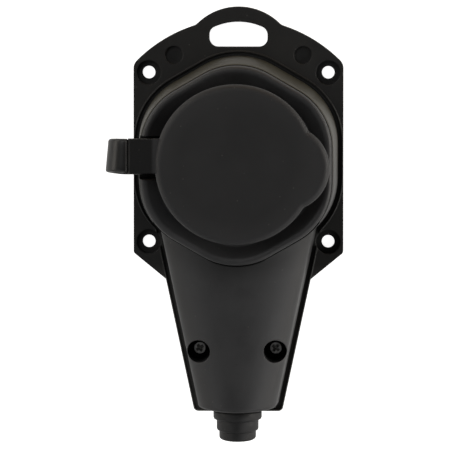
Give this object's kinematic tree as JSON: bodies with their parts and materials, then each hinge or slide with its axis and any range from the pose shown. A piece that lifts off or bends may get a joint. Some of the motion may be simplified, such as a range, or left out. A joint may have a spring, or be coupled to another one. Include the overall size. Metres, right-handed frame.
{
  "type": "rubber extension socket",
  "caption": "Rubber-housed socket outlet with a wall plate and hanger, a hinged splash lid over a round plug recess, and a tapered cable part ending in a stepped grommet.",
  "frame": {"origin": "middle of the four wall holes, on the back face of the mounting plate", "axes": "+X towards the lid's finger tab, +Y towards the hanger, +Z out of the wall, the way the socket faces"},
  "size_m": [0.0826, 0.153, 0.0475],
  "materials": {
    "housing_rubber": "moulded rubber, satin",
    "lid_rubber": "moulded soft rubber, matt",
    "plate_rubber": "moulded hard rubber, matt",
    "insert_plastic": "moulded thermoset, matt",
    "contact_brass": "bright, stamped and turned",
    "screw_steel": "zinc plated"
  },
  "bodies": {
    "housing": {"back_plate": "plate_rubber", "front_cover": "housing_rubber", "cover_screws": "screw_steel", "lid_collar": "housing_rubber", "lid_strap": "lid_rubber", "socket_insert": "insert_plastic", "contact_carrier": "insert_plastic", "live_contact": "contact_brass", "neutral_contact": "contact_brass", "earth_bracket": "contact_brass", "terminal_screws": "screw_steel", "insert_screw": "screw_steel", "carrier_screws": "screw_steel", "cable_grommet": "lid_rubber", "cable_clamp": "insert_plastic", "clamp_screws": "screw_steel"},
    "lid": {"lid": "lid_rubber"}
  },
  "joints": [
    {"name": "lid_hinge", "type": "hinge", "parent": "housing", "child": "lid", "pos_m": [-0.0376, 0.003, 0.0466], "axis": [0, -1, 0], "range_deg": [0, 170]}
  ]
}
